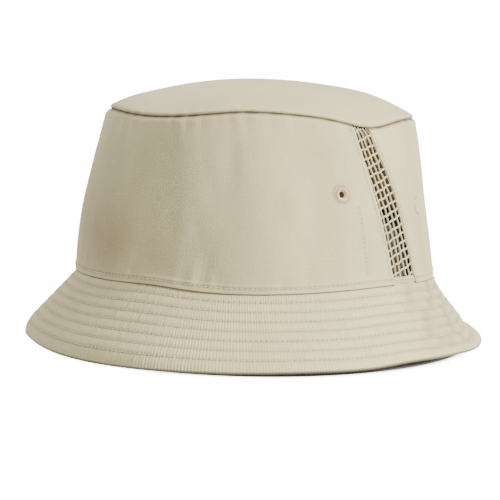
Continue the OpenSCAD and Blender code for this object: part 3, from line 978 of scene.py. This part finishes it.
# %% Rows on the brim
halves = (np.linspace(-math.pi, 0, 900), np.linspace(0, math.pi, 900))


def brim_run(face, turn, row, down):
    """One row on one half brim; down is 1 on the under face, whose normal points the other way."""
    places, directions, normals = seam_points(face, turn, row * ROW_PITCH)
    normals = -normals if down < 0 else normals
    return places + normals * 0.04 * MM, directions, normals


for row in range(1, ROWS + 1):
    runs = [brim_run(upper_face, turn, row, -1) for turn in halves]
    runs += [brim_run(under_face, turn, row, 1) for turn in halves]
    sew(f"brim_row_{row}", runs, [f"brim_stitch_row_{row}"], seed=row)

# %% Rows on the crown
round_hat = np.linspace(-math.pi, math.pi, 1800)


def wall_face(angle, z, above):
    return wall_point(angle, z, -above)


def raised(run, height):
    return run[0] + run[2] * height, run[1], run[2]


foot_run = seam_points(wall_face, round_hat, SEAM_STITCH_Z)
sew("crown_foot_row", [raised(foot_run, 0.05 * MM)], ["crown_base_stitch"], seed=11)


def slot_row(edge, side):
    z = np.linspace(seam_z + 3 * MM, crown_top - 1.6 * MM, 400)
    y = vent_middle(z) + edge * (vent_width(z) / 2 + 2 * MM)
    angle = side_angle(y, wall_offset(z), side)
    return raised(seam_points(wall_face, angle, z), 0.04 * MM)


for edge, end in ((-1, "front"), (1, "back")):
    for side, hand in ((1, "left"), (-1, "right")):
        sew(f"slot_row_{end}_{hand}", [slot_row(edge, side)], [f"vent_stitch_{end}_{hand}"],
            seed=20 + edge + side)

# %% [markdown]
# ## The mesh in the slots
# The slot's mesh is a knitted net: long strands run down the slot and cross strands climb towards the
# back between them, with a small knot at each crossing. The strands are lines in the script, laid just
# under the cloth, and a geometry tree gives them their round section and sets the knots.

# %% The net tree
NET_TREE, given = new_tree("Knitted net", {"Strand radius": "Float", "Knot radius": "Float", "Seed": "Int"})
lines = geo(NET_TREE, "MeshToCurve", {"Mesh": given["Geometry"]})
section = geo(NET_TREE, "CurvePrimitiveCircle", {"Resolution": 7, "Radius": given["Strand radius"]})
strands = geo(NET_TREE, "CurveToMesh", {"Curve": lines, "Profile Curve": section, "Fill Caps": True})
at_knots = geo(NET_TREE, "InputNamedAttribute", {"Name": "knot"}, data_type="BOOLEAN")
knot = geo(NET_TREE, "MeshUVSphere", {"Segments": 8, "Rings": 5, "Radius": given["Knot radius"]})
knot_size = geo(NET_TREE, "RandomValue", {2: 0.8, 3: 1.15, "Seed": given["Seed"]}, "FunctionNode", output=1)
knots = geo(NET_TREE, "InstanceOnPoints",
            {"Points": given["Geometry"], "Selection": at_knots, "Instance": knot, "Scale": knot_size})
whole_net = NET_TREE.nodes.new("GeometryNodeJoinGeometry")
for part in (strands, knots):
    NET_TREE.links.new(part, whole_net.inputs[0])
close_tree(NET_TREE, given, whole_net.outputs[0])

# %% The two nets
NET_COLUMNS, NET_ROWS = 5, 19
NET_CLIMB = 5.6 * MM
NET_TOP_PITCH, NET_BASE_PITCH = 2.9 * MM, 4.4 * MM


def net_place(column, z, side, weave):
    """A place on the net: column from the slot's back edge, height, and how far the strand weaves out."""
    pitch = NET_TOP_PITCH + (NET_BASE_PITCH - NET_TOP_PITCH) * (crown_top - z) / crown_height
    front = vent_middle(z) - vent_width(z) / 2 - 1.2 * MM
    y = np.maximum(vent_middle(z) + vent_width(z) / 2 - column * pitch, front)
    offset = wall_offset(z) + relief(side_angle(y, wall_offset(z), side), z)
    depth = 0.62 * MM + 1.9 * MM * np.exp(-((crown_top - z) / MM / 2.2) ** 2)
    angle = side_angle(y, wall_offset(z), side)
    return on_hat(angle, offset - depth + weave, z)


def net_lines(side):
    jitter = np.random.default_rng(31 if side > 0 else 32)
    points, edges, knots = [], [], []

    def lay(strand, knot_at=None):
        first = len(points)
        points.extend(strand)
        edges.extend((first + i, first + i + 1) for i in range(len(strand) - 1))
        knots.extend([False] * len(strand) if knot_at is None else knot_at)

    pitch = crown_height / NET_ROWS
    for column in range(NET_COLUMNS + 1):
        z = np.linspace(seam_z + 0.4 * MM, crown_top - 0.8 * MM, 150)
        wander = 0.06 * np.sin(z / MM / jitter.uniform(5, 9) + jitter.uniform(0, 6))
        weave = 0.16 * MM * np.cos(math.pi * (z - seam_z) / pitch + math.pi * column)
        lay(net_place(column + wander, z, side, weave))
    for rise in (0.5, 1.2, 1.9, 2.6):
        across = np.linspace(-0.2, NET_COLUMNS + 0.3, 42)
        lay(net_place(across, seam_z + rise * MM + 0.1 * MM * np.sin(2 * across), side, 0.1 * MM))
    for row in range(-1, NET_ROWS + 1):
        across = np.linspace(-0.4, NET_COLUMNS + 0.4, 42)
        tilt = NET_CLIMB * (1 + jitter.normal(0, 0.06))
        z = seam_z + (row + 0.5) * pitch + tilt * (0.5 - across / NET_COLUMNS) + jitter.normal(0, 0.15) * MM
        z = z + 0.25 * MM * np.sin(across * math.pi + row)
        held = (z > seam_z + 0.3 * MM) & (z < crown_top - 0.9 * MM)
        if held.sum() < 4:
            continue
        weave = -0.16 * MM * np.cos(math.pi * across + math.pi * row)
        strand = net_place(across, z, side, weave)
        crossing = np.abs(across - np.round(across)) < 0.06
        lay(strand[held], list(crossing[held]))
    return points, edges, knots


for side, hand in ((1, "left"), (-1, "right")):
    points, edges, knots = net_lines(side)
    host = bpy.data.meshes.new("net_lines")
    host.from_pydata([tuple(p) for p in points], edges, [])
    host.attributes.new("knot", "BOOLEAN", "POINT").data.foreach_set("value", np.array(knots))
    net = grow(f"mesh_vent_net_{hand}", bring_in("net_lines", host), NET_TREE,
               {"Strand radius": 0.5 * MM, "Knot radius": 0.66 * MM, "Seed": 5, "Material": MESH_YARN})
    settle(net, "mesh", f"mesh_vent_{hand}")

# %% [markdown]
# ## The eyelets
# Each eyelet is a small hole overcast with thread: dozens of satin stitches go out from the hole over
# the cloth, side by side, and shape a soft domed ring. The tree turns one arched stitch about the hole.

# %% The eyelet tree
EYELET_TREE, given = new_tree("Sewn eyelet",
                              {"Stitches": "Int", "Hole radius": "Float", "Outer radius": "Float",
                               "Rise": "Float", "Thread radius": "Float", "Seed": "Int"})


def sum_of(a, b, how="ADD"):
    return geo(EYELET_TREE, "Math", {0: a, 1: b}, "ShaderNode", operation=how)


hole, outer, rise = given["Hole radius"], given["Outer radius"], given["Rise"]
span = sum_of(outer, hole, "SUBTRACT")
inner_high = geo(EYELET_TREE, "CombineXYZ", {"X": hole, "Z": sum_of(rise, 1.3, "MULTIPLY")}, "ShaderNode")
outer_high = geo(EYELET_TREE, "CombineXYZ", {"X": sum_of(hole, sum_of(span, 0.85, "MULTIPLY")),
                                             "Z": sum_of(rise, 1.2, "MULTIPLY")}, "ShaderNode")
inner_low = geo(EYELET_TREE, "CombineXYZ", {"X": hole, "Z": sum_of(rise, -1.0, "MULTIPLY")}, "ShaderNode")
outer_low = geo(EYELET_TREE, "CombineXYZ", {"X": outer, "Z": sum_of(rise, -0.35, "MULTIPLY")}, "ShaderNode")
bow = geo(EYELET_TREE, "CurvePrimitiveBezierSegment",
          {"Resolution": 7, "Start": inner_low, "Start Handle": inner_high, "End Handle": outer_high,
           "End": outer_low})
section = geo(EYELET_TREE, "CurvePrimitiveCircle", {"Resolution": 5, "Radius": given["Thread radius"]})
satin_stitch = geo(EYELET_TREE, "CurveToMesh", {"Curve": bow, "Profile Curve": section, "Fill Caps": True})
spots = geo(EYELET_TREE, "MeshLine", {"Count": given["Stitches"], "Offset": (0, 0, 0)})
number = geo(EYELET_TREE, "InputIndex")
wobble = geo(EYELET_TREE, "RandomValue", {2: -0.3, 3: 0.3, "Seed": given["Seed"]}, "FunctionNode", output=1)
turn = sum_of(sum_of(sum_of(number, wobble), given["Stitches"], "DIVIDE"), 2 * math.pi, "MULTIPLY")
turned = geo(EYELET_TREE, "CombineXYZ", {"Z": turn}, "ShaderNode")
spin = geo(EYELET_TREE, "EulerToRotation", {"Euler": turned}, "FunctionNode")
stretch = geo(EYELET_TREE, "RandomValue", {2: 0.96, 3: 1.05, "Seed": given["Seed"]}, "FunctionNode", output=1)
ring = geo(EYELET_TREE, "InstanceOnPoints", {"Points": spots, "Instance": satin_stitch, "Rotation": spin,
                                             "Scale": stretch})
close_tree(EYELET_TREE, given, ring)

# %% The four eyelets
def eyelet(name, node, side, end, seed):
    """A sewn ring on both faces of the wall, set square to the cloth."""
    z = np.array([EYELET_Z[end]])
    angle = side_angle(end * EYELET_Y, wall_offset(z), side)
    place = wall_face(angle, z, 0)[0]
    turn = wall_face(angle + 0.03, z, 0)[0] - wall_face(angle - 0.03, z, 0)[0]
    climb = wall_face(angle, z + 3 * MM, 0)[0] - wall_face(angle, z - 3 * MM, 0)[0]
    out = unit(np.cross(turn, climb))
    across = unit(turn)
    up = np.cross(out, across)
    bm = bmesh.new()
    for face in (1, -1):
        host = bring_in(name + "_seed", bpy.data.meshes.new(name + "_seed"))
        half = grow(f"{name}_face", host, EYELET_TREE,
                    {"Stitches": 54, "Hole radius": 1.8 * MM, "Outer radius": 3.75 * MM, "Rise": 0.85 * MM,
                     "Thread radius": 0.2 * MM, "Seed": seed + face, "Material": EYELET_THREAD})
        centre = place - out * (0 if face > 0 else CLOTH)
        frame_axes = np.stack([across * face, up, out * face], 1)
        half.data.transform(Matrix([[*axis, c] for axis, c in zip(frame_axes, centre)] + [[0, 0, 0, 1]]))
        bm.from_mesh(half.data)
        bpy.data.objects.remove(half)
    mesh = bpy.data.meshes.new(name)
    bm.to_mesh(mesh)
    bm.free()
    mesh.materials.append(EYELET_THREAD)
    settle(bring_in(name, mesh), "eyelet_thread", node)


for side, hand in ((1, "left"), (-1, "right")):
    for end, where in ((-1, "front"), (1, "back")):
        eyelet(f"eyelet_ring_{where}_{hand}", f"eyelet_{where}_{hand}", side, end, 40 + side + 2 * end)

# %% [markdown]
# ## Inside the crown
# A cotton sweatband lines the foot of the crown, folded over at its top edge and sewn down in two rows.
# A tape covers the seam of the tip. Both are rings that follow the same relief as the wall, a fixed
# depth inside it, so nothing can poke through.

# %% The sweatband and the tape
def inner_ring(name, rows, depth, half, finish, node, slot, pleat):
    """A ring of cloth at a depth inside the wall; depth and half are given for each row."""
    angle = np.linspace(0, 2 * math.pi, 420, endpoint=False)[:, None] + 0 * rows[None, :]
    z = rows[None, :] + 0 * angle
    puckered = pleat * ripples(angle * 1.3 + 0.8, z, 0.05) * MM
    grid = on_hat(angle, wall_offset(z) + relief(angle, z) - depth[None, :] - np.abs(puckered), z)
    uv = np.stack([angle * wall_half_length, z], -1)
    edge = np.minimum(z - rows[0], rows[-1] - z)
    ring_half = np.minimum(half[None, :] + 0 * z, edge_round(edge, half.max()))
    # Painted shade along both edges of the ring.
    shade = 0.3 * (1 - smooth(edge / (1.2 * MM)))
    ring = cloth(name, grid, uv, ring_half, finish, wrap=True, shade=shade)
    settle(ring, slot, node)


SWEATBAND_DEPTH = 3.6 * MM
band_low, band_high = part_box("sweatband")[0].z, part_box("sweatband")[1].z
band_rows = spaced(band_low, band_high, 1.0 * MM, (0.08, 0.2, 0.4, 0.8))
from_top = (band_high - band_rows) / MM
band_dip = 0.25 * (bell(from_top - 5, 0.6) + bell(from_top - 27.5, 0.6)) * MM
band_depth = SWEATBAND_DEPTH + 0.5 * MM - band_dip
inner_ring("cotton_sweatband", band_rows, band_depth, 0.45 * MM + 0 * band_rows, BAND_COTTON,
           "sweatband", "sweatband", 0.12)

tape_rows = spaced(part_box("tip_seam_tape")[0].z, crown_top - 1.7 * MM, 0.8 * MM, (0.1, 0.25, 0.5, 0.9))
tape_bulge = np.sin(np.pi * (tape_rows - tape_rows[0]) / (tape_rows[-1] - tape_rows[0])) * 0.3 * MM
inner_ring("seam_tape", tape_rows, 1.9 * MM + 0 * tape_rows, 0.45 * MM + tape_bulge, TAPE_COTTON,
           "tip_seam_tape", "tape", 0.1)


# %% Rows on the sweatband
def band_face(angle, z, above):
    depth = SWEATBAND_DEPTH + 0.75 * MM + above
    return on_hat(angle, wall_offset(z) + relief(angle, z) - depth, z)


band_runs = []
for drop in (5 * MM, 27.5 * MM):
    places, directions, normals = seam_points(band_face, round_hat, band_high - drop)
    band_runs.append((places, directions, -normals))
sew("sweatband_rows", band_runs, [], seed=13)

# %% [markdown]
# ## The care label
# A folded satin ribbon is sewn over the top edge of the sweatband at the back, and its free end hangs
# inside. It is the one part that swings, so it is its own piece on its own body. Real labels curl a
# little towards the wearer, and their corners lift.

# %% The label and its sewn end
label_low, label_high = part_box("care_label")
label_y = 0.5 * (label_low.y + label_high.y)
LABEL_WIDTH = label_high.x - label_low.x
LABEL_DROP = label_high.z - label_low.z - 0.25 * MM
hinge_z = label_high.z - 0.25 * MM


def ribbon(name, path, finish_half, body, node):
    """A strip of satin along a path of (y, z) points, as wide as the label."""
    across = np.linspace(-0.5, 0.5, 33)[::-1, None] * LABEL_WIDTH
    y, z = path[:, 0][None, :], path[:, 1][None, :]
    grid = np.stack([across + 0 * y, y + 0 * across, z + 0 * across], -1)
    from_top = walked(path)[None, :]
    if body == "care_label":
        droop = (from_top / LABEL_DROP) ** 2
        grid[..., 1] -= (0.9 * droop + 1.1 * droop * (2 * across / LABEL_WIDTH) ** 2) * MM
        grid[..., 1] -= 0.25 * MM * np.sin(across / LABEL_WIDTH * 5 + from_top / LABEL_DROP * 3) * droop
    uv = np.stack([across + 0 * y, from_top + 0 * across], -1)
    side = LABEL_WIDTH / 2 - np.abs(across)
    half = np.minimum(edge_round(side, finish_half), edge_round(from_top, finish_half))
    half = np.minimum(half, edge_round(from_top[0, -1] - from_top, finish_half))
    strip = cloth(name, grid[:, ::-1], uv[:, ::-1], half[:, ::-1], LABEL_SATIN)
    settle(strip, "label", node, body=body)


drop = np.concatenate([[0, 0.06, 0.15, 0.3], np.linspace(0.6, 29.4, 44), [29.7, 29.85, 29.94, 30.0]]) / 30
hang = np.stack([label_y + 0 * drop, hinge_z + 0.2 * MM - drop * (LABEL_DROP + 0.1 * MM)], 1)
ribbon("label_ribbon", hang, 0.16 * MM, "care_label", "care_label")
over = np.linspace(0, math.pi, 26)
tab_middle, tab_span = label_y + 2.1 * MM, 1.75 * MM
arch = np.stack([tab_middle - tab_span * np.cos(over),
                 hinge_z + 0.55 * MM + 0.8 * MM * np.sin(over) ** 0.7], 1)
ribbon("label_sewn_end", arch, 0.16 * MM, "hat", "label_tab")

# %% [markdown]
# ## Floor, light and camera
# The hat lies on a plain pale floor. A large soft light to the right and above gives the bright side and
# the gentle shade on the left; a weaker one fills the front, and a pale surround keeps the edges light.
# The camera is a long lens a little above the brim, as for a catalogue picture.

# %% The floor
FLOOR_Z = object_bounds()[0].z
FLOOR_SIZE = 4.0
SURROUND_GLOW = 15.0
corners = [(-1, -1), (1, -1), (1, 1), (-1, 1)]
floor_finish, tree, shader = new_finish("pale_floor", 0.8)
place = shade_node(tree, "TexCoord", output="Object")
floor_noise = shade_node(tree, "TexNoise", {"Vector": place, "Scale": 9.0})
on_floor = shade_node(tree, "Mapping", {"Vector": place,
                                        "Scale": (1 / brim_half_width, 1 / brim_half_length, 0)})
from_middle = shade_node(tree, "VectorMath", {0: on_floor}, output="Value", operation="LENGTH")
outside = shade_node(tree, "MapRange", {0: from_middle, 1: 0.94, 2: 0.985, 3: 0.0, 4: SURROUND_GLOW})
seen = shade_node(tree, "LightPath", output="Is Camera Ray")
pale = tint(tree, "MIX", floor_noise, (0.40, 0.40, 0.40, 1), (0.42, 0.42, 0.42, 1))
plug(tree, shader, {"Base Color": pale, "Emission Color": (1, 1, 1, 1),
                    "Emission Strength": calc(tree, "MULTIPLY", seen, outside)})
floor_points = [(x * FLOOR_SIZE, y * FLOOR_SIZE, FLOOR_Z) for x, y in corners]
floor = add_mesh("floor", floor_points, [(0, 1, 2, 3)], floor_finish)

# %% The camera
VIEW_AZIMUTH, VIEW_ELEVATION = math.radians(40.993), math.radians(6.463)
VIEW_ROLL = math.radians(2.033)
VIEW_DISTANCE = 0.79068
LENS, SENSOR = 105.79, 36.0
level = math.cos(VIEW_ELEVATION)
forward = Vector((-math.sin(VIEW_AZIMUTH) * level, math.cos(VIEW_AZIMUTH) * level, -math.sin(VIEW_ELEVATION)))
right = Vector((math.cos(VIEW_AZIMUTH), math.sin(VIEW_AZIMUTH), 0))
above = right.cross(forward)
target = Vector((0, 0, 60 * MM)) + right * (-5.121 * MM) + above * (-16.958 * MM)
camera = bring_in("camera", bpy.data.cameras.new("camera"))
camera.data.lens, camera.data.sensor_width = LENS, SENSOR
camera_x = math.cos(VIEW_ROLL) * right + math.sin(VIEW_ROLL) * above
camera_y = -math.sin(VIEW_ROLL) * right + math.cos(VIEW_ROLL) * above
place = target - forward * VIEW_DISTANCE
turned = [[camera_x[i], camera_y[i], -forward[i], place[i]] for i in range(3)]
camera.matrix_world = Matrix(turned + [[0, 0, 0, 1]])
bpy.context.scene.camera = camera


# %% The lights
def soft_light(name, toward, away, height, size, power, colour=(1, 1, 1)):
    """A square area light, `toward` metres to the camera's right and `away` metres towards it."""
    lamp = bpy.data.lights.new(name, "AREA")
    lamp.shape, lamp.size, lamp.energy, lamp.color = "SQUARE", size, power, colour
    light = bring_in(name, lamp)
    flat_forward = Vector((forward.x, forward.y, 0)).normalized()
    light.location = right * toward - flat_forward * away + Vector((0, 0, height))
    light.rotation_euler = (Vector((0, 0, 70 * MM)) - light.location).to_track_quat("-Z", "Y").to_euler()


soft_light("key_light", 1.72, 0.82, 0.90, 0.6, 108)
soft_light("top_light", 0.1, -0.2, 1.8, 1.2, 30)
soft_light("fill_light", -0.6, 1.6, 0.5, 1.0, 10)
soft_light("rim_light", -1.7, -0.6, 0.6, 0.8, 24)

# The cloth lets a little light through, and the crown's inside glows brown through the net and the holes.
glow = bpy.data.lights.new("glow_inside", "POINT")
glow.energy, glow.color, glow.shadow_soft_size = 0.035, (1.0, 0.80, 0.55), 15 * MM
glow_light = bring_in("glow_inside", glow)
glow_light.location = (0, 0, 80 * MM)
glow_light.visible_camera = False

# %% The pale surround
world = bpy.data.worlds.new("surround")
world.use_nodes = True
backdrop = world.node_tree.nodes["Background"]
seen = shade_node(world.node_tree, "LightPath", output="Is Camera Ray")
strength = calc(world.node_tree, "MULTIPLY_ADD", seen, SURROUND_GLOW, 0.16)
plug(world.node_tree, backdrop, {"Color": (1, 1, 1, 1), "Strength": strength})
bpy.context.scene.world = world

# %% [markdown]
# ## What each cloth was cut from
# A cutter knows every piece by the rectangle of cloth that it needs. Each sheet is given here with that
# rectangle and, where the cut is curved, with its own flat area, and the script prints how much of that
# area the made piece covers. The oval's perimeter grows by a full turn of every millimetre it moves out,
# which gives the ring pieces their length; a half brim opens flat into a wide arc.

# %% Flat sizes
def girth(offset):
    """The oval's perimeter at an offset from the brim seam."""
    return math.pi * (end_radius + side_radius) + 2 * math.pi * offset


def cut_sheet(name, width, length, area=None):
    piece = bpy.data.objects[name]
    share = sum(face.area for face in piece.data.polygons) / 2 / (area or width * length)
    print(f"{name}: cut {width / MM:.0f} x {length / MM:.0f} mm, made {share:.2f} of that area")


brim_drop_length = BRIM_LENGTH + 1.6 * MM
fan_outer = brim_drop_length * girth(brim_reach) / (girth(brim_reach) - girth(0))
fan_turn = girth(brim_reach) / 2 / fan_outer
fan_width = 2 * fan_outer * math.sin(fan_turn / 2)
fan_length = fan_outer - (fan_outer - brim_drop_length) * math.cos(fan_turn / 2)
fan_area = brim_drop_length * (girth(0) + girth(brim_reach)) / 4
tip_half_width, tip_half_length = crown_half_width - TIP_EDGE, wall_half_length - TIP_EDGE
cut_sheet("tip", 2 * tip_half_width, 2 * tip_half_length,
          math.pi * tip_half_width * tip_half_length)
for half, ahead in (("front", -1), ("back", 1)):
    cut_sheet(f"{half}_side_panel", panel_length[ahead], crown_height + 0.9 * MM)
    cut_sheet(f"{half}_upper_brim", fan_width, fan_length, fan_area)
    cut_sheet(f"{half}_under_brim", fan_width, fan_length, fan_area)
stiff_area = 2 * fan_area * (stiff_rows.max() - stiff_rows.min()) / brim_drop_length
cut_sheet("brim_stiffener", fan_width, stiff_area / fan_width,
          stiff_area)
cut_sheet("cotton_sweatband", girth(-5 * MM), band_high - band_low)
cut_sheet("seam_tape", girth(-TIP_EDGE), 10 * MM,
          girth(-TIP_EDGE) * (tape_rows[-1] - tape_rows[0]))
cut_sheet("label_ribbon", LABEL_WIDTH, 30 * MM)
for hand in ("left", "right"):
    cut_sheet(f"mesh_vent_net_{hand}", (VENT_TOP_WIDTH + VENT_BASE_WIDTH) / 2 + 2 * MM, crown_height)
